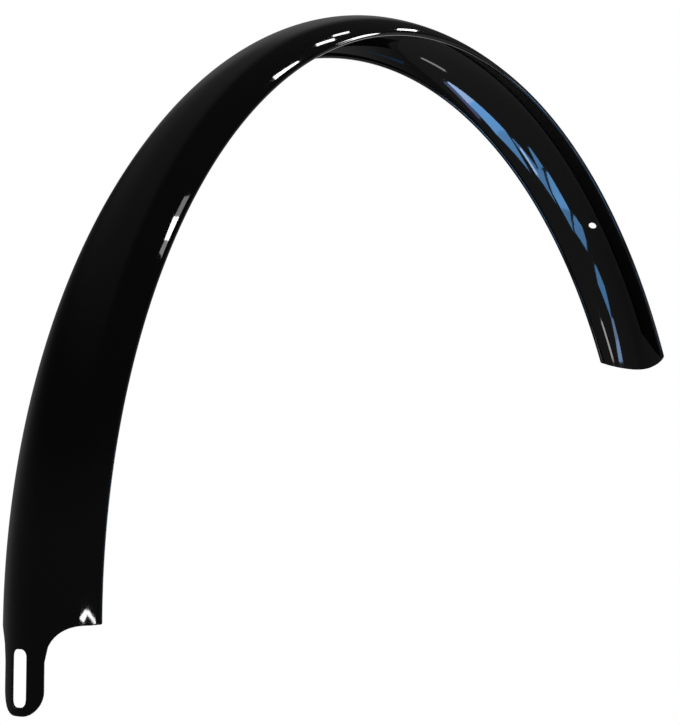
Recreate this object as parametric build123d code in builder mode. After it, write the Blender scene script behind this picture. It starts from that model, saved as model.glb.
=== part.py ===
"""Bicycle mudguard: a one-piece blade of painted sheet steel with a slotted tongue.

The tongue hangs straight down at the front. Above it the blade follows the wheel
over the top and down to a slanted tail. Lengths are in millimetres, angles in degrees.
"""
import os
from math import atan2, cos, degrees, radians, sin

from build123d import *

os.makedirs("parts", exist_ok=True)

# Blade around the wheel
crown_radius = 370.0  # wheel axle to the outside of the crown
blade_angle = 152.3  # shoulder to the end of the crown, turned about the axle
tail_rake = 43.5  # lean of the tail's cut away from the wheel's radius

# Section across the blade
guard_width = 59.0  # outside of one rolled rim to the outside of the other
guard_depth = 18.9  # crown to the bottom of the rims
sheet_thickness = 0.8
crown_round = 25.3  # outside radius of the round along the middle
crown_half_angle = 22.7  # where the crown's round meets the flatter flanks
rim_roll_radius = 1.5  # outside radius of the rims, which are rolled inwards to a closed bead
rim_roll_turn = 160.0

# Tongue and shoulders
tongue_length = 35.6  # shoulder to tip
tongue_width = 24.0
tongue_corner_radius = 10.0
neck_fillet_along = 14.0
shoulder_flat = 2.0  # straight stretch between the neck's fillet and the shoulder's corner
shoulder_corner_radius = 2.0

# Slot for the frame bolt, and hole for the stay
slot_width = 8.5
slot_length = 23.0
slot_corner_radius = 3.0
slot_to_tip = 15.0  # middle of the slot to the tongue's tip
stay_hole_diameter = 6.5
stay_hole_angle = 129.1  # shoulder to hole, turned about the axle

# The middle of the slot is the origin, and the wheel's axle is level with the shoulders.
slot_drop = tongue_length - slot_to_tip
axle = Vector(crown_radius, 0, slot_drop)
shoulder_plane = Plane(origin=axle, x_dir=(0, 1, 0), z_dir=(0, 0, 1))


def outward(angle):
    """Direction from the axle to the crown, turned from the shoulders by an angle."""
    return Vector(-cos(radians(angle)), 0, sin(radians(angle)))


def onward(angle):
    """Direction along the blade towards the tail at the same place."""
    return Vector(sin(radians(angle)), 0, cos(radians(angle)))


# Each flank is an arc that leaves the crown's round smoothly and runs smoothly into the rim's roll.
crown_lean = Vector(sin(radians(crown_half_angle)), cos(radians(crown_half_angle)))
crown_middle = Vector(0, crown_radius - crown_round)
crown_edge = crown_middle + crown_lean * crown_round
roll_middle = Vector(guard_width / 2 - rim_roll_radius, crown_radius - guard_depth + rim_roll_radius)
reach = roll_middle - crown_edge
flank_round = (rim_roll_radius**2 - reach.dot(reach)) / (2 * (reach.dot(crown_lean) + rim_roll_radius))
flank_middle = crown_edge - crown_lean * flank_round
flank_axis = roll_middle - flank_middle
flank_turn = degrees(atan2(flank_axis.X, flank_axis.Y)) - crown_half_angle

with BuildPart() as mudguard:
    # Rolled section, swung about the axle for the blade and drawn straight down for the tongue
    with BuildSketch(shoulder_plane) as section:
        with BuildLine():
            crown = JernArc((0, crown_radius), (1, 0), crown_round, -crown_half_angle)
            flank = JernArc(crown @ 1, crown % 1, flank_round, -flank_turn)
            offset(amount=sheet_thickness, side=Side.RIGHT)
        make_face()
        with BuildLine():
            roll = JernArc(flank @ 1, flank % 1, rim_roll_radius, -rim_roll_turn)
            Polyline(roll @ 1, flank @ 0.94, roll @ 0)
        make_face()
        mirror(about=Plane.YZ)
    revolve(axis=Axis(axle, (0, 1, 0)), revolution_arc=blade_angle + 2)
    extrude(section.sketch, amount=-tongue_length)

    # Outline of the shoulders, neck and tongue
    shoulder_height = slot_drop
    tip_height = -slot_to_tip
    rim_side = guard_width / 2
    tongue_side = tongue_width / 2
    neck_end = rim_side - shoulder_corner_radius - shoulder_flat
    neck_fillet_across = neck_end - tongue_side
    beyond = guard_width / 2 + guard_depth
    with BuildSketch(Plane.YZ):
        with BuildLine():
            Line((neck_end + shoulder_flat, shoulder_height), (neck_end, shoulder_height))
            EllipticalCenterArc((neck_end, shoulder_height - neck_fillet_along),
                                neck_fillet_across, neck_fillet_along, start_angle=90, arc_size=90)
            side = Line((tongue_side, shoulder_height - neck_fillet_along),
                        (tongue_side, tip_height + tongue_corner_radius))
            corner = JernArc(side @ 1, (0, -1), tongue_corner_radius, -90)
            Polyline(corner @ 1, corner @ 1 + Vector(0, -guard_depth), (beyond, tip_height - guard_depth),
                     (beyond, shoulder_height + shoulder_corner_radius),
                     (rim_side, shoulder_height + shoulder_corner_radius))
            JernArc((rim_side, shoulder_height + shoulder_corner_radius), (0, -1), shoulder_corner_radius, -90)
        make_face()
        mirror(about=Plane.YZ)
    extrude(amount=2 * guard_depth, both=True, mode=Mode.SUBTRACT)

    with BuildSketch(Plane.YZ):
        RectangleRounded(slot_width, slot_length, slot_corner_radius)
    extrude(amount=guard_depth, both=True, mode=Mode.SUBTRACT)

    # Stay hole, and the slanted tail, where the crown reaches further than the rims
    half_cut = 2 * guard_depth
    hole_way = outward(stay_hole_angle)
    with BuildSketch(Plane(axle + hole_way * crown_radius, z_dir=hole_way)):
        Circle(stay_hole_diameter / 2)
    crown_end = axle + outward(blade_angle) * crown_radius
    tail_way = onward(blade_angle) * cos(radians(tail_rake)) - outward(blade_angle) * sin(radians(tail_rake))
    with BuildSketch(Plane(crown_end + tail_way * half_cut, x_dir=(0, 1, 0), z_dir=tail_way)):
        Rectangle(2 * guard_width, 6 * guard_depth)
    extrude(amount=half_cut, both=True, mode=Mode.SUBTRACT)

mudguard.part.label = "mudguard"
export_step(mudguard.part, "parts/mudguard.step")
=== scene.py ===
from math import asin, atan2, cos, hypot, pi, radians, sin, sqrt

import bpy
from mathutils import Matrix, Vector, kdtree


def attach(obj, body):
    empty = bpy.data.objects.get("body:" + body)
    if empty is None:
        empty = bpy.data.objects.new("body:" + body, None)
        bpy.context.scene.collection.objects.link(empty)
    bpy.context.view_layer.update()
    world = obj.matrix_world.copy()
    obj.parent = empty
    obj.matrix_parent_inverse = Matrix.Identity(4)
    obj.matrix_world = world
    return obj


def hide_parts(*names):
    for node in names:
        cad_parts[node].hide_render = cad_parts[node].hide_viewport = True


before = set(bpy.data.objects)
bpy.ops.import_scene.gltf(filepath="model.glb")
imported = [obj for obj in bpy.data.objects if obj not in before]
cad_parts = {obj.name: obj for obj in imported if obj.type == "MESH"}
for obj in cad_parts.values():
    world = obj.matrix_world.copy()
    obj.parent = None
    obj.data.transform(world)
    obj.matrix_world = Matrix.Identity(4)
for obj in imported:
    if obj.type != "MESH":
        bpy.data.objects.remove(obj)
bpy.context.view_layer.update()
scene = bpy.context.scene
mm = 0.001


class Wire:  # one socket of a node tree, so that node maths can be written as sums
    def __init__(self, tree, socket=None):
        self.tree = tree
        self.socket = socket

    def node(self, kind, settings=None, inputs=None, output=0):
        made = self.tree.nodes.new(kind)
        for name, value in (settings or {}).items():
            setattr(made, name, value)
        for key, value in (inputs or {}).items():
            if isinstance(value, Wire):
                self.tree.links.new(value.socket, made.inputs[key])
            else:
                made.inputs[key].default_value = value
        return Wire(self.tree, made.outputs[output] if made.outputs else None)

    def other(self, output):
        return Wire(self.tree, self.socket.node.outputs[output])

    def math(self, operation, *values):
        return self.node("ShaderNodeMath", {"operation": operation}, dict(enumerate(values)))

    def __add__(self, value):
        return self.math("ADD", self, value)

    def __radd__(self, value):
        return self.math("ADD", value, self)

    def __sub__(self, value):
        return self.math("SUBTRACT", self, value)

    def __rsub__(self, value):
        return self.math("SUBTRACT", value, self)

    def __mul__(self, value):
        return self.math("MULTIPLY", self, value)

    def __rmul__(self, value):
        return self.math("MULTIPLY", value, self)

    def __truediv__(self, value):
        return self.math("DIVIDE", self, value)

    def __rtruediv__(self, value):
        return self.math("DIVIDE", value, self)

    def __abs__(self):
        return self.math("ABSOLUTE", self)

    def least(self, value):
        return self.math("MINIMUM", self, value)

    def most(self, value):
        return self.math("MAXIMUM", self, value)

    def sine(self):
        return self.math("SINE", self)

    def cosine(self):
        return self.math("COSINE", self)

    def sign(self):
        return self.math("SIGN", self)

    def step(self, low, high):  # smooth step from 0 at low to 1 at high
        return self.node("ShaderNodeMapRange", {"interpolation_type": "SMOOTHSTEP"},
                         {"Value": self, "From Min": low, "From Max": high})


# The blade: a flat blank is cut to its outline, then rolled to its section and bent round the wheel.
blade = dict(  # millimetres and degrees, as in the solid
    crownRadius=370.0, bladeAngle=152.3, tailRake=43.5,
    guardWidth=59.0, guardDepth=18.9, sheet=0.8, crownRound=25.3, crownHalfAngle=22.7,
    rollRadius=1.5, rollTurn=285.0,  # the curl closes on itself
    tongueLength=35.6, tongueWidth=24.0, tongueCorner=10.0,
    neckAlong=14.0, shoulderFlat=2.0, shoulderCorner=2.0,
    slotWidth=8.5, slotLength=23.0, slotCorner=3.0, slotToTip=15.0,
    holeDiameter=6.5, holeAngle=129.1,
    edgeRound=0.2, edgeAngle=60.0, edgeSegments=3,  # broken edges where the sheet is cut
)
blank = dict(  # how the flat blank is divided into rows, columns and rings, finer at the cut edges
    tongueColumns=10, flankColumns=16, rollColumns=22,
    firstRow=10.0, rowStep=3.9,
    holeMargin=8.0, holeRows=12, holeColumns=6, holeShares=[0, 0.1, 0.3, 0.5, 0.75, 1],
    tailStart=900.0, tailRows=18, tailBody=0.94, tailEdge=[0.98, 0.994, 1.0],
    neckEdge=[0, 0.045, 0.12], neckRows=10,
    tongueSideSteps=7, tongueCornerSteps=12, tongueTipSteps=4,
    slotShares=[0, 0.05, 0.16, 0.3, 0.45, 0.6, 0.75, 0.88, 0.955, 1],
    curlMargin=0.5, tiny=1e-9,
)
crownRadius, crownRound, rollRadius = blade["crownRadius"], blade["crownRound"], blade["rollRadius"]
rimSide, tongueSide = blade["guardWidth"] / 2, blade["tongueWidth"] / 2
shoulderHeight = blade["tongueLength"] - blade["slotToTip"]

# Section: a crown arc, a flank arc and the rim's curl, each smooth with the one before it.
crownLean = radians(blade["crownHalfAngle"])
crownEdge = (crownRound * sin(crownLean), crownRound * (1 - cos(crownLean)))  # across, down
rollMiddle = (rimSide - rollRadius, blade["guardDepth"] - rollRadius)
gapAcross, gapDown = rollMiddle[0] - crownEdge[0], rollMiddle[1] - crownEdge[1]
toLean = gapAcross * sin(crownLean) - gapDown * cos(crownLean)
flankRound = (rollRadius ** 2 - gapAcross ** 2 - gapDown ** 2) / (2 * (toLean + rollRadius))
flankMiddle = (crownEdge[0] - flankRound * sin(crownLean), crownEdge[1] + flankRound * cos(crownLean))
flankLean = atan2(rollMiddle[0] - flankMiddle[0], flankMiddle[1] - rollMiddle[1])
crownRun = crownRound * crownLean  # lengths along the sheet from its middle line
flankRun = crownRun + flankRound * (flankLean - crownLean)
rollRun = flankRun + rollRadius * radians(blade["rollTurn"])


def leanAt(run):  # how far the sheet has turned from the crown
    if run < crownRun:
        return run / crownRound
    if run < flankRun:
        return crownLean + (run - crownRun) / flankRound
    return flankLean + (run - flankRun) / rollRadius


def sectionAt(run):  # distance across and depth below the crown
    lean = leanAt(run)
    if run < crownRun:
        return crownRound * sin(lean), crownRound * (1 - cos(lean))
    if run < flankRun:
        return flankMiddle[0] + flankRound * sin(lean), flankMiddle[1] - flankRound * cos(lean)
    return rollMiddle[0] + rollRadius * sin(lean), rollMiddle[1] - rollRadius * cos(lean)


def runAt(across):  # along the sheet for a distance across, up to the rim
    if abs(across) <= crownEdge[0]:
        return crownRound * asin(across / crownRound)
    lean = asin((abs(across) - flankMiddle[0]) / flankRound)
    return (crownRun + flankRound * (lean - crownLean)) * (1 if across > 0 else -1)


def outlineAt(run):  # where the blank starts beside the tongue, from the shoulder line
    across = sectionAt(abs(run))[0]
    corner = blade["shoulderCorner"]
    cornerStart = rimSide - corner
    neckEnd = cornerStart - blade["shoulderFlat"]
    if across < neckEnd:
        share = (neckEnd - across) / (neckEnd - tongueSide)
        return blade["neckAlong"] * (sqrt(max(0, 1 - share ** 2)) - 1)
    over = max(0, across - cornerStart)
    return corner - sqrt(max(0, corner ** 2 - over ** 2))


def tailAt(run):  # where the slanted cut ends the blank
    rake = radians(blade["tailRake"])
    radius = crownRadius - sectionAt(abs(run))[1]
    back = asin(crownRadius * sin(rake) / radius) - rake
    return crownRadius * (radians(blade["bladeAngle"]) - back)


def slotEdge(along, across):  # from the slot's middle along a ray to its rounded edge
    endHalf, sideHalf, corner = blade["slotLength"] / 2, blade["slotWidth"] / 2, blade["slotCorner"]
    flatEnd, flatSide = sideHalf - corner, endHalf - corner
    rise, reach = abs(along), abs(across)
    if reach > blank["tiny"] and rise * sideHalf / reach <= flatSide:
        scale = sideHalf / reach
    elif rise > blank["tiny"] and reach * endHalf / rise <= flatEnd:
        scale = endHalf / rise
    else:
        inward = rise * flatSide + reach * flatEnd
        square = rise * rise + reach * reach
        beyond = flatSide ** 2 + flatEnd ** 2 - corner ** 2
        scale = (inward + sqrt(inward ** 2 - square * beyond)) / square
    return along * scale, across * scale


def steps(start, end, count):
    return [start + (end - start) * i / count for i in range(1, count + 1)]


blankPoints, blankFaces, pointIndex = [], [], {}


def pointAt(along, run):
    key = (round(along, 4), round(run, 4))
    if key not in pointIndex:
        pointIndex[key] = len(blankPoints)
        blankPoints.append((along, run))
    return pointIndex[key]


def addFace(corners):
    ids = [pointAt(*corner) for corner in corners]
    area = sum(corners[i - 1][0] * corners[i][1] - corners[i][0] * corners[i - 1][1] for i in range(4))
    blankFaces.append(ids if area > 0 else ids[::-1])


def addGrid(rows, skip=lambda i, j: False):
    for i in range(len(rows) - 1):
        for j in range(len(rows[0]) - 1):
            if not skip(i, j):
                addFace([rows[i][j], rows[i][j + 1], rows[i + 1][j + 1], rows[i + 1][j]])


def addRing(outer, inner, shares):  # quads between an outline and a hole
    for i in range(len(outer)):
        chains = []
        for k in (i - 1, i):
            chains.append([(inner[k][0] + (outer[k][0] - inner[k][0]) * share,
                            inner[k][1] + (outer[k][1] - inner[k][1]) * share) for share in shares])
        for j in range(len(shares) - 1):
            addFace([chains[0][j], chains[0][j + 1], chains[1][j + 1], chains[1][j]])


def layBlade(runs, middle):  # rows along the blade, finer round the stay hole
    rowStep, tailStart, columns = blank["rowStep"], blank["tailStart"], blank["holeColumns"]
    holeAlong = crownRadius * radians(blade["holeAngle"])
    holeStart, holeEnd = holeAlong - blank["holeMargin"], holeAlong + blank["holeMargin"]
    rowAlongs = [blank["firstRow"]]
    rowAlongs += steps(rowAlongs[-1], holeStart, round((holeStart - rowAlongs[-1]) / rowStep))
    firstHoleRow = len(rowAlongs) - 1
    rowAlongs += steps(rowAlongs[-1], holeEnd, blank["holeRows"])
    lastHoleRow = len(rowAlongs) - 1
    rowAlongs += steps(rowAlongs[-1], tailStart, round((tailStart - rowAlongs[-1]) / rowStep))
    rows = [[(along, run) for run in runs] for along in rowAlongs]
    for share in steps(0, blank["tailBody"], blank["tailRows"]) + blank["tailEdge"]:
        rows.append([(tailStart + (tailAt(run) - tailStart) * share, run) for run in runs])
    left, right = middle - columns, middle + columns
    addGrid(rows, lambda i, j: firstHoleRow <= i < lastHoleRow and left <= j < right)

    loop = [rows[firstHoleRow][j] for j in range(left, right)]
    loop += [rows[i][right] for i in range(firstHoleRow, lastHoleRow)]
    loop += [rows[lastHoleRow][j] for j in range(right, left, -1)]
    loop += [rows[i][left] for i in range(lastHoleRow, firstHoleRow, -1)]
    holeLoop = []
    for along, run in loop:
        reach = blade["holeDiameter"] / 2 / hypot(along - holeAlong, run)
        holeLoop.append((holeAlong + (along - holeAlong) * reach, run * reach))
    addRing(loop, holeLoop, blank["holeShares"])


def layShoulders(halfRuns, sideRun, neckShares):  # from the outline up to the first row
    top = blank["firstRow"]
    for side in (1, -1):
        sideRuns = [run * side for run in halfRuns if run >= sideRun - blank["tiny"]]
        starts = [outlineAt(run) for run in sideRuns]
        addGrid([[(start + (top - start) * share, run) for start, run in zip(starts, sideRuns)]
                 for share in neckShares])


def layTongue(halfRuns, sideRun, neckShares):  # rings round the slot
    top, neck, tip = blank["firstRow"], -blade["neckAlong"], -blade["tongueLength"]
    corner = blade["tongueCorner"]
    half = [(top, sectionAt(run)[0]) for run in halfRuns if run <= sideRun + blank["tiny"]]
    half += [(neck + (top - neck) * share, tongueSide) for share in neckShares[-2::-1]]
    half += [(along, tongueSide) for along in steps(neck, tip + corner, blank["tongueSideSteps"])]
    half += [(tip + corner - corner * sin(turn), tongueSide - corner + corner * cos(turn))
             for turn in steps(0, pi / 2, blank["tongueCornerSteps"])]
    half += [(tip, across) for across in steps(tongueSide - corner, 0, blank["tongueTipSteps"])]
    outer = half + [(along, -across) for along, across in half[-2:0:-1]]
    slotMiddle = -shoulderHeight
    inner = []
    for along, across in outer:
        slotAlong, slotAcross = slotEdge(along - slotMiddle, across)
        inner.append((slotMiddle + slotAlong, slotAcross))
    addRing([(along, runAt(across)) for along, across in outer],
            [(along, runAt(across)) for along, across in inner], blank["slotShares"])


def cutBlank():
    sideRun = runAt(tongueSide)
    halfRuns = [0.0] + steps(0, sideRun, blank["tongueColumns"])
    halfRuns += steps(sideRun, flankRun, blank["flankColumns"])
    halfRuns += steps(flankRun, rollRun, blank["rollColumns"])
    neckShares = blank["neckEdge"] + steps(blank["neckEdge"][-1], 1, blank["neckRows"])
    layBlade([-run for run in halfRuns[:0:-1]] + halfRuns, len(halfRuns) - 1)
    layShoulders(halfRuns, sideRun, neckShares)
    layTongue(halfRuns, sideRun, neckShares)
    mesh = bpy.data.meshes.new("bladeBlank")
    mesh.from_pydata([(along * mm, run * mm, 0) for along, run in blankPoints], [], blankFaces)
    mesh.validate()
    return mesh


def markCutEdges(mesh):  # distance of each point from the nearest cut edge, for chips in the paint
    uses = {}
    for face in mesh.polygons:
        for key in face.edge_keys:
            uses[key] = uses.get(key, 0) + 1
    rim = {v for key, count in uses.items() if count == 1 for v in key}
    curlEnd = (rollRun - blank["curlMargin"]) * mm  # the edge inside the curl doesn't show
    rim = [v for v in rim if abs(mesh.vertices[v].co.y) < curlEnd]
    tree = kdtree.KDTree(len(rim))
    for i, v in enumerate(rim):
        tree.insert(mesh.vertices[v].co, i)
    tree.balance()
    near = mesh.attributes.new("cutEdge", "FLOAT", "POINT")
    for i, v in enumerate(mesh.vertices):
        near.data[i].value = tree.find(v.co)[2]


def rollingTree(paint):
    tree = bpy.data.node_groups.new("rollTheBlade", "GeometryNodeTree")
    tree.is_modifier = True
    face = tree.interface
    face.new_socket("Geometry", in_out="INPUT", socket_type="NodeSocketGeometry")
    sizes = {
        "Crown Radius": crownRadius * mm, "Crown Round": crownRound * mm, "Crown Lean": crownLean,
        "Flank Round": flankRound * mm, "Flank Lean": flankLean,
        "Rim Roll Radius": rollRadius * mm, "Shoulder Height": shoulderHeight * mm,
    }
    ids = {}
    for name in sizes:
        ids[name] = face.new_socket(name, in_out="INPUT", socket_type="NodeSocketFloat").identifier
    face.new_socket("Geometry", in_out="OUTPUT", socket_type="NodeSocketGeometry")

    given = Wire(tree).node("NodeGroupInput")
    wheel, crown, crownEnd, flank, flankEnd, roll, shoulder = [given.other(name) for name in sizes]
    flat = given.node("ShaderNodeSeparateXYZ", None, {0: given.node("GeometryNodeInputPosition")})
    along, across, lift = flat, flat.other("Y"), flat.other("Z")

    # three arcs across the sheet, each taking up where the one before it ends
    run = abs(across)
    flankStart = crown * crownEnd
    rollStart = flankStart + flank * (flankEnd - crownEnd)
    crownTurn = (run / crown).least(crownEnd)
    flankTurn = crownEnd + ((run - flankStart) / flank).most(0).least(flankEnd - crownEnd)
    rollTurn = flankEnd + ((run - rollStart) / roll).most(0)
    crownOut, flankOut, rollOut = crown + lift, flank + lift, roll + lift
    wide = (crownOut * crownTurn.sine() + flankOut * (flankTurn.sine() - crownEnd.sine())
            + rollOut * (rollTurn.sine() - flankEnd.sine()))
    deep = (crownOut * (1 - crownTurn.cosine()) + flankOut * (crownEnd.cosine() - flankTurn.cosine())
            + rollOut * (flankEnd.cosine() - rollTurn.cosine()) - lift)

    # straight down for the tongue, round the axle for the blade
    radius = wheel - deep
    turn = along.most(0) / wheel
    place = given.node("ShaderNodeCombineXYZ", None, {
        "X": wheel - radius * turn.cosine(),
        "Y": wide * across.sign(),
        "Z": shoulder + along.least(0) + radius * turn.sine()})
    bent = given.node("GeometryNodeSetPosition", None, {"Geometry": given, "Position": place})
    smooth = given.node("GeometryNodeSetShadeSmooth", None, {"Geometry": bent})
    whole = given.node("GeometryNodeRealizeInstances", None, {"Geometry": smooth})
    painted = given.node("GeometryNodeSetMaterial", None, {"Geometry": whole, "Material": paint})
    given.node("NodeGroupOutput", None, {"Geometry": painted})
    return tree, ids, sizes


enamel = dict(  # sizes in metres; each "where" is the stretch of a noise over which a mark comes in
    black=(0.0026, 0.0026, 0.0029, 1), indexOfRefraction=1.5, specular=0.25, gloss=0.03,
    peelSize=0.0022, peelDetail=1.5, peelHeight=1.6e-6,
    waveSize=0.055, waveDetail=1.0, waveHeight=2.2e-5,
    hazeScale=23.0, hazeDetail=4.0, hazeWhere=(0.35, 0.75), hazeRough=0.012,
    wipeScale=310.0, wipeDetail=3.0, wipeWhere=(0.5, 0.8), wipeRough=0.008,
    dust=(0.30, 0.29, 0.27, 1), dustScale=420.0, dustSpeck=(0.05, 0.11), dustWhere=(0.52, 0.66),
    dustRough=0.08, dustShow=0.035,
    chip=(0.30, 0.30, 0.30, 1), chipScale=520.0, chipDetail=2.0, chipReach=(0.05 * mm, 0.32 * mm),
    chipWhere=(0.66, 0.72), chipRough=0.3,
)


def glossBlack():  # stove enamel over steel: deep black, glossy, with faint orange peel
    paint = bpy.data.materials.new("glossBlackEnamel")
    paint.use_nodes = True
    tree = paint.node_tree
    shader = tree.nodes["Principled BSDF"]
    place = Wire(tree).node("ShaderNodeTexCoord", None, None, "Object")

    def noise(scale, detail):
        return place.node("ShaderNodeTexNoise", None, {"Vector": place, "Scale": scale, "Detail": detail})

    def cover(under, over, share):  # one colour over another
        return place.node("ShaderNodeMix", {"data_type": "RGBA"}, {0: share, 6: under, 7: over}, 2)

    peel = noise(1 / enamel["peelSize"], enamel["peelDetail"])
    wave = noise(1 / enamel["waveSize"], enamel["waveDetail"])
    height = peel * enamel["peelHeight"] + wave * enamel["waveHeight"]
    bump = place.node("ShaderNodeBump", None, {"Strength": 1.0, "Distance": 1.0, "Height": height})

    haze = noise(enamel["hazeScale"], enamel["hazeDetail"])
    wipe = noise(enamel["wipeScale"], enamel["wipeDetail"])
    dust = place.node("ShaderNodeTexVoronoi", {"feature": "F1"},
                      {"Vector": place, "Scale": enamel["dustScale"]}, "Distance")
    speck = (1 - dust.step(*enamel["dustSpeck"])) * haze.step(*enamel["dustWhere"])

    edge = place.node("ShaderNodeAttribute", {"attribute_name": "cutEdge"}, None, "Fac")
    flake = noise(enamel["chipScale"], enamel["chipDetail"])
    chip = (1 - edge.step(*enamel["chipReach"])) * flake.step(*enamel["chipWhere"])

    roughness = (enamel["gloss"] + haze.step(*enamel["hazeWhere"]) * enamel["hazeRough"]
                 + wipe.step(*enamel["wipeWhere"]) * enamel["wipeRough"]
                 + speck * enamel["dustRough"] + chip * enamel["chipRough"])
    dusty = cover(enamel["black"], enamel["dust"], speck * enamel["dustShow"])
    worn = cover(dusty, enamel["chip"], chip)
    tree.links.new(worn.socket, shader.inputs["Base Color"])
    tree.links.new(roughness.socket, shader.inputs["Roughness"])
    tree.links.new(bump.socket, shader.inputs["Normal"])
    shader.inputs["IOR"].default_value = enamel["indexOfRefraction"]
    shader.inputs["Specular IOR Level"].default_value = enamel["specular"]
    return paint


def makeBlade():
    paint = glossBlack()
    mesh = cutBlank()
    markCutEdges(mesh)
    piece = bpy.data.objects.new("mudguardBlade", mesh)
    scene.collection.objects.link(piece)
    thick = piece.modifiers.new("sheet", "SOLIDIFY")
    thick.thickness = blade["sheet"] * mm
    thick.offset = -1.0
    soft = piece.modifiers.new("edges", "BEVEL")
    soft.limit_method = "ANGLE"
    soft.angle_limit = radians(blade["edgeAngle"])
    soft.width = blade["edgeRound"] * mm
    soft.segments = blade["edgeSegments"]
    soft.use_clamp_overlap = False
    tree, ids, sizes = rollingTree(paint)
    bend = piece.modifiers.new("roll", "NODES")
    bend.node_group = tree
    for name, value in sizes.items():
        bend[ids[name]] = value
    depsgraph = bpy.context.evaluated_depsgraph_get()
    rolled = bpy.data.meshes.new_from_object(piece.evaluated_get(depsgraph), preserve_all_data_layers=True,
                                             depsgraph=depsgraph)
    piece.modifiers.clear()
    piece.data = rolled
    rolled.name = "mudguardBlade"
    triangles = sum(len(face.vertices) - 2 for face in rolled.polygons)
    print("blade rolled:", len(rolled.vertices), "points,", triangles, "triangles")
    return piece


bladePiece = makeBlade()
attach(bladePiece, "root")
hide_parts("mudguard")

# Floor: plain and pale, well below the part, which hangs from its tongue.
floor = dict(middle=(0.35, 0.35, -0.35), radius=1.4, sides=128,
             pale=(0.56, 0.56, 0.55, 1), roughness=0.9, specular=0.1)


def makeFloor():
    middleX, middleY, level = floor["middle"]
    turns = [2 * pi * i / floor["sides"] for i in range(floor["sides"])]
    rim = [(middleX + floor["radius"] * cos(turn), middleY + floor["radius"] * sin(turn), level)
           for turn in turns]
    mesh = bpy.data.meshes.new("floor")
    mesh.from_pydata(rim, [], [list(range(floor["sides"]))])
    piece = bpy.data.objects.new("floor", mesh)
    scene.collection.objects.link(piece)
    plain = bpy.data.materials.new("paleFloor")
    plain.use_nodes = True
    shader = plain.node_tree.nodes["Principled BSDF"]
    shader.inputs["Base Color"].default_value = floor["pale"]
    shader.inputs["Roughness"].default_value = floor["roughness"]
    shader.inputs["Specular IOR Level"].default_value = floor["specular"]
    mesh.materials.append(plain)
    return piece


makeFloor()

# Camera where the photograph was taken from, fitted to the part's outlines.
eye = dict(turn=0.9486, rise=-0.1386, roll=-0.0232, distance=0.6814, target=(0.2286, 0, 0.1520),
           focalPixels=1176.4, wide=680, tall=725,  # radians, metres and pixels
           sensor=36.0, clipStart=0.01, clipEnd=50)


def makeCamera():
    turn, rise, roll = eye["turn"], eye["rise"], eye["roll"]
    back = Vector((-sin(turn) * cos(rise), -cos(turn) * cos(rise), sin(rise)))
    level = (-back).cross(Vector((0, 0, 1))).normalized()
    upright = level.cross(-back)
    right = level * cos(roll) + upright * sin(roll)
    up = upright * cos(roll) - level * sin(roll)
    place = Vector(eye["target"]) + back * eye["distance"]
    camera = bpy.data.objects.new("camera", bpy.data.cameras.new("camera"))
    scene.collection.objects.link(camera)
    camera.matrix_world = Matrix.Translation(place) @ Matrix((right, up, back)).transposed().to_4x4()
    camera.data.sensor_width = eye["sensor"]
    camera.data.lens = eye["focalPixels"] * eye["sensor"] / eye["tall"]  # the frame is taller than wide
    camera.data.clip_start = eye["clipStart"]
    camera.data.clip_end = eye["clipEnd"]
    scene.camera = camera
    return place, right, up, -back


eyePlace, viewRight, viewUp, viewAhead = makeCamera()

# Studio: a white screen behind the part in a dim room, a soft skylight above it and a paler wall to one side.
studio = dict(  # brightness, then the way to each light and the stretches over which it fades
    screen=1.0, left=(0.30, 0.345), right=(0.30, 0.60), top=(0.32, 0.365), bottom=(0.32, 0.60),
    screenAhead=(0.2, 0.4), leastAhead=0.05,
    room=0.11, ceiling=0.03, ceilingFade=(0.12, 0.45),
    paleWall=0.40, wallWay=(0.94, -0.34, 0.0), wallFade=(0.35, 0.9), wallTop=(0.2, 0.5),
    skylight=0.11, skyFade=(0.5, 0.9), skyEdge=(-0.407, 0.914, 0.0), edgeFade=(-0.02, 0.10),
    skyPatch=0.13, patchWay=(0.569, 0.478, 0.669), patchEdge=radians(26), patchHeart=radians(8),
)


def makeWorld():
    world = bpy.data.worlds.new("studio")
    scene.world = world
    world.use_nodes = True
    tree = world.node_tree
    tree.nodes.clear()
    way = Wire(tree).node("ShaderNodeTexCoord", None, None, "Generated")

    def towards(axis):
        return way.node("ShaderNodeVectorMath", {"operation": "DOT_PRODUCT"}, {0: way, 1: axis}, "Value")

    ahead = towards(viewAhead)
    depth = ahead.most(studio["leastAhead"])
    aside, above = towards(viewRight) / depth, towards(viewUp) / depth
    screen = ((1 - aside.step(*studio["right"])) * (1 - (aside * -1).step(*studio["left"]))
              * (1 - above.step(*studio["top"])) * (1 - (above * -1).step(*studio["bottom"]))
              * ahead.step(*studio["screenAhead"]))
    height = way.node("ShaderNodeSeparateXYZ", None, {0: way}).other("Z")
    level = 1 - abs(height).step(*studio["wallTop"])
    below = 1 - height.step(*studio["ceilingFade"])
    dim = studio["ceiling"] + below * (studio["room"] - studio["ceiling"])
    wall = towards(studio["wallWay"]).step(*studio["wallFade"]) * level
    dim = dim + wall * (studio["paleWall"] - studio["room"])
    patch = towards(studio["patchWay"]).step(cos(studio["patchEdge"]), cos(studio["patchHeart"]))
    sky = height.step(*studio["skyFade"]) * studio["skylight"] + patch * studio["skyPatch"]
    dim = dim + sky * towards(studio["skyEdge"]).step(*studio["edgeFade"])
    light = dim + screen * (studio["screen"] - dim)
    glow = way.node("ShaderNodeBackground", None, {"Color": (1, 1, 1, 1), "Strength": light})
    way.node("ShaderNodeOutputWorld", None, {"Surface": glow})


makeWorld()

# Overhead softbox
softKey = dict(aim=(0.33, 0.0, 0.2), way=(-0.35, -0.55, 0.76), far=2.2, size=1.2, level=0.8)


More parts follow.
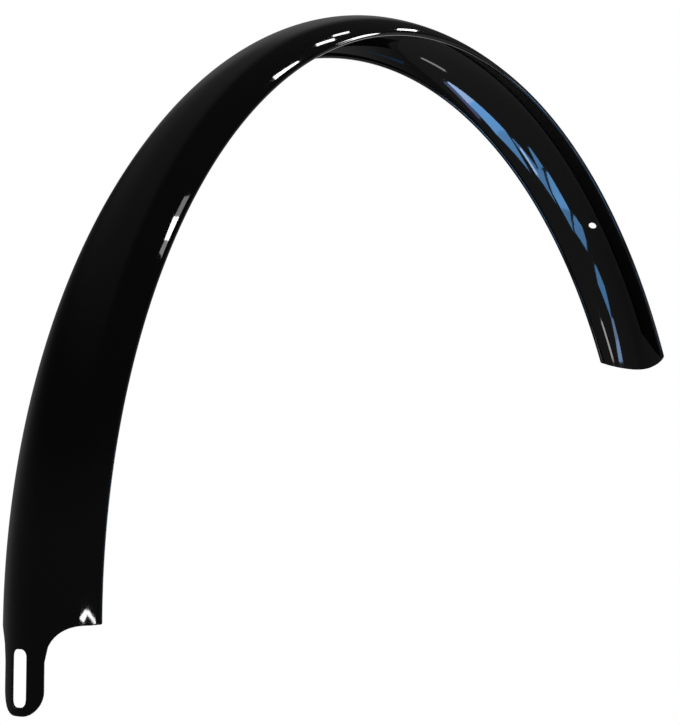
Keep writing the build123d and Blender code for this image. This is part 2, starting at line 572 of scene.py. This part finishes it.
def makeKey():
    way = Vector(softKey["way"]).normalized()
    data = bpy.data.lights.new("softKey", "AREA")
    data.shape = "SQUARE"
    data.size = softKey["size"]
    data.energy = softKey["level"] * pi ** 2 * softKey["far"] ** 2
    piece = bpy.data.objects.new("softKey", data)
    scene.collection.objects.link(piece)
    piece.matrix_world = (Matrix.Translation(Vector(softKey["aim"]) + way * softKey["far"])
                          @ way.to_track_quat("Z", "Y").to_matrix().to_4x4())
    piece.visible_camera = False
    piece.visible_glossy = False  # the cards below are what the paint mirrors


makeKey()

# Light cards that the gloss mirrors. Each has a tint, a brightness and the corners of its mirror image
# in the picture, in pixels from the top left, from which the card is placed.
tints = dict(white=(1, 1, 1), pale=(0.40, 0.62, 1), sky=(0.19, 0.50, 1), violet=(0.42, 0.46, 1))
outerMirrors = dict(  # white lights on the outside of the blade
    keyBright=("white", 60, (173.7, 216.6), (181, 217.6), (170.4, 241.4), (164.5, 239.8)),
    keyUpper=("white", 7, (184.5, 196.6), (191.5, 196), (181, 217.6), (174.4, 216.6)),
    keyLower=("white", 9, (164.7, 240.3), (170.4, 241.6), (163, 259), (159.2, 252.5)),
    topFirst=("white", 30, (272.8, 77), (275.3, 79.8), (299.3, 63.6), (297.8, 61)),
    topSecond=("white", 16, (315.8, 44), (316.8, 46.3), (335, 40.4), (334.2, 38.2)),
    topThird=("white", 10, (332.6, 35.2), (333.2, 37), (349.2, 33), (348.8, 31.2)),
    topFourth=("white", 12, (397.5, 28.7), (397.5, 31), (416.5, 32.2), (416.5, 30.1)),
    shoulderLeft=("white", 60, (85, 610), (88.6, 610.8), (83.6, 622.3), (79.4, 618)),
    shoulderRight=("white", 55, (88.6, 610), (86, 613), (94.6, 624), (97.2, 622.8)),
)
innerMirrors = dict(  # blue and white lights on the inside of the blade
    wedgeTip=("pale", 21, (447.2, 82.4), (448.4, 81.6), (475, 101.3), (469, 104.4)),
    wedgeMiddle=("sky", 20, (469, 104.4), (475, 101.3), (505.6, 131), (497, 135.2)),
    wedgeEnd=("sky", 15, (497, 135.2), (505.6, 131), (515, 145.5), (530, 172)),
    wedgeSide=("violet", 4.5, (443.6, 82.4), (445.4, 81.8), (481, 117.6), (479, 119.4)),
    bladeTwo=("sky", 11, (512, 139.4), (513.2, 138.8), (536.5, 166.5), (535.5, 173.5)),
    shardTwo=("sky", 14, (528.4, 148), (529.6, 147.2), (543.2, 167), (540, 171.5)),
    shardTwoEnd=("sky", 14, (532.8, 170), (543.2, 170.4), (549.2, 189.4), (556.3, 203.8)),
    shardThree=("sky", 20, (546.4, 172.4), (547.6, 171.6), (561.3, 195), (552.5, 193)),
    shardThreeMiddle=("sky", 22, (552.5, 193), (561.3, 195), (570, 211), (561, 209)),
    shardThreeEnd=("sky", 13, (561, 209), (570, 211), (571.6, 222), (573.6, 232)),
    shardFour=("sky", 15, (573.2, 216), (574.4, 215.2), (582.5, 227.5), (575, 232)),
    shardFourEnd=("sky", 14, (575, 232), (582.5, 227.5), (586.6, 241), (587.2, 251)),
    lowerPiece=("sky", 14, (594.4, 265.5), (595.6, 264.8), (605, 287), (598, 284)),
    lowerMiddle=("sky", 14, (598, 284), (605, 287), (609.5, 307), (612, 321)),
    lowestPiece=("pale", 13, (611, 318), (613, 318), (619, 341), (616, 342)),
    lowestEnd=("pale", 18, (616, 342), (619, 341), (622.8, 361.5), (619, 362)),
    lowLine=("white", 15, (600.6, 321), (602, 320.6), (613.8, 359.6), (612.2, 360)),
    topLine=("white", 5, (421, 58.6), (421.6, 57.4), (446, 70.4), (445.4, 72)),
    topBlue=("sky", 0.8, (366, 50.7), (366.4, 51.8), (404, 62), (403, 64.5)),
    wedgeLine=("pale", 30, (519.5, 148.5), (521.1, 147.8), (538.2, 174.6), (536.7, 175.8)),
)
rimMirror = dict(  # short line on the near rim's curl, in degrees round the wheel and round the curl
    tint="white", glow=26, turns=(59.3, 64.8), leans=(66, 104))
cardFar = dict(  # metres from the blade, and how much nearer each inner card is than the one before it
    outer=1.5, inner=0.45, rim=0.12, layer=0.002)
search = dict(turnSteps=600, runSteps=120, newtonSteps=6, turnNudge=1e-5, runNudge=1e-3)


def bladePoint(turn, run, inward):  # place and outward normal on the sheet
    side = -1 if run < 0 else 1
    lean = leanAt(abs(run))
    across, depth = sectionAt(abs(run))
    radius = crownRadius - depth
    normal = Vector((-cos(turn) * cos(lean), side * sin(lean), sin(turn) * cos(lean)))
    place = Vector((crownRadius - radius * cos(turn), side * across, shoulderHeight + radius * sin(turn)))
    return (place - normal * inward) * mm, normal


def inPicture(place):  # the pixel at which a point is seen
    offset = place - eyePlace
    depth = offset.dot(viewAhead)
    return Vector((eye["wide"] / 2 + eye["focalPixels"] * offset.dot(viewRight) / depth,
                   eye["tall"] / 2 - eye["focalPixels"] * offset.dot(viewUp) / depth))


def seenGrid(inward):  # points of the outside, or of the inside of the sheet, that face the camera
    spots = []
    for turn in steps(0, radians(blade["bladeAngle"]), search["turnSteps"]):
        for run in steps(-flankRun, flankRun, search["runSteps"]):
            place, normal = bladePoint(turn, run, inward)
            if (place - eyePlace).dot(normal) * (1 if inward else -1) > 0:
                spots.append((turn, run, inPicture(place)))
    tree = kdtree.KDTree(len(spots))
    for i, (turn, run, pixel) in enumerate(spots):
        tree.insert((*pixel, 0), i)
    tree.balance()
    return spots, tree


def mirrorRay(turn, run, inward):
    place, normal = bladePoint(turn, run, inward)
    return place, (place - eyePlace).normalized().reflect(normal)


def rayAtPixel(pixel, grid, inward):
    spots, tree = grid
    turn, run, _ = spots[tree.find((*pixel, 0))[1]]
    turnNudge, runNudge = search["turnNudge"], search["runNudge"]
    for _ in range(search["newtonSteps"]):  # towards the point that is seen at the pixel
        seen = inPicture(bladePoint(turn, run, inward)[0])
        byTurn = (inPicture(bladePoint(turn + turnNudge, run, inward)[0]) - seen) / turnNudge
        byRun = (inPicture(bladePoint(turn, run + runNudge, inward)[0]) - seen) / runNudge
        miss = Vector(pixel) - seen
        turn += miss.cross(byRun) / byTurn.cross(byRun)
        run += byTurn.cross(miss) / byTurn.cross(byRun)
        run = max(-flankRun, min(flankRun, run))
    return mirrorRay(turn, run, inward)


def cardCorners(rays, far):  # where four mirror rays meet a plane square to them
    middle = sum((place for place, ray in rays), Vector()) / 4
    way = sum((ray for place, ray in rays), Vector()).normalized()
    return [place + ray * ((middle + way * far - place).dot(way) / ray.dot(way)) for place, ray in rays]


def layCards():  # corners, tint and brightness of each card
    laid = []
    for mirrors, inward, far, layer in ((outerMirrors, 0, cardFar["outer"], 0),
                                        (innerMirrors, blade["sheet"], cardFar["inner"], cardFar["layer"])):
        grid = seenGrid(inward)
        for i, (tint, glow, *pixels) in enumerate(mirrors.values()):
            rays = [rayAtPixel(pixel, grid, inward) for pixel in pixels]
            laid.append((cardCorners(rays, far - i * layer), tint, glow))
    runs = [-flankRun - rollRadius * (radians(lean) - flankLean) for lean in rimMirror["leans"]]
    turns = [radians(turn) for turn in rimMirror["turns"]]
    rays = [mirrorRay(turns[i], runs[k], 0) for i, k in ((0, 0), (0, 1), (1, 1), (1, 0))]
    laid.append((cardCorners(rays, cardFar["rim"]), rimMirror["tint"], rimMirror["glow"]))
    return laid


def makeCards():
    laid = layCards()
    mesh = bpy.data.meshes.new("lightCards")
    mesh.from_pydata([corner for corners, *_ in laid for corner in corners], [],
                     [[4 * i + k for k in range(4)] for i in range(len(laid))])
    shine = mesh.color_attributes.new("shine", "FLOAT_COLOR", "POINT")
    for i, (_, tint, glow) in enumerate(laid):
        for k in range(4):
            shine.data[4 * i + k].color = (*(glow * part for part in tints[tint]), 1)
    piece = bpy.data.objects.new("lightCards", mesh)
    scene.collection.objects.link(piece)
    light = bpy.data.materials.new("lightCard")
    light.use_nodes = True
    tree = light.node_tree
    shader = tree.nodes["Principled BSDF"]
    colour = Wire(tree).node("ShaderNodeAttribute", {"attribute_name": "shine"}, None, "Color")
    tree.links.new(colour.socket, shader.inputs["Emission Color"])
    shader.inputs["Emission Strength"].default_value = 1.0
    shader.inputs["Base Color"].default_value = (0, 0, 0, 1)
    shader.inputs["Specular IOR Level"].default_value = 0.0
    mesh.materials.append(light)
    piece.visible_camera = False
    piece.visible_diffuse = False
    piece.visible_shadow = False
    piece.visible_transmission = False
    return piece


makeCards()
scene.view_settings.view_transform = "Standard"
print("floor, camera, world, key lamp and light cards set")
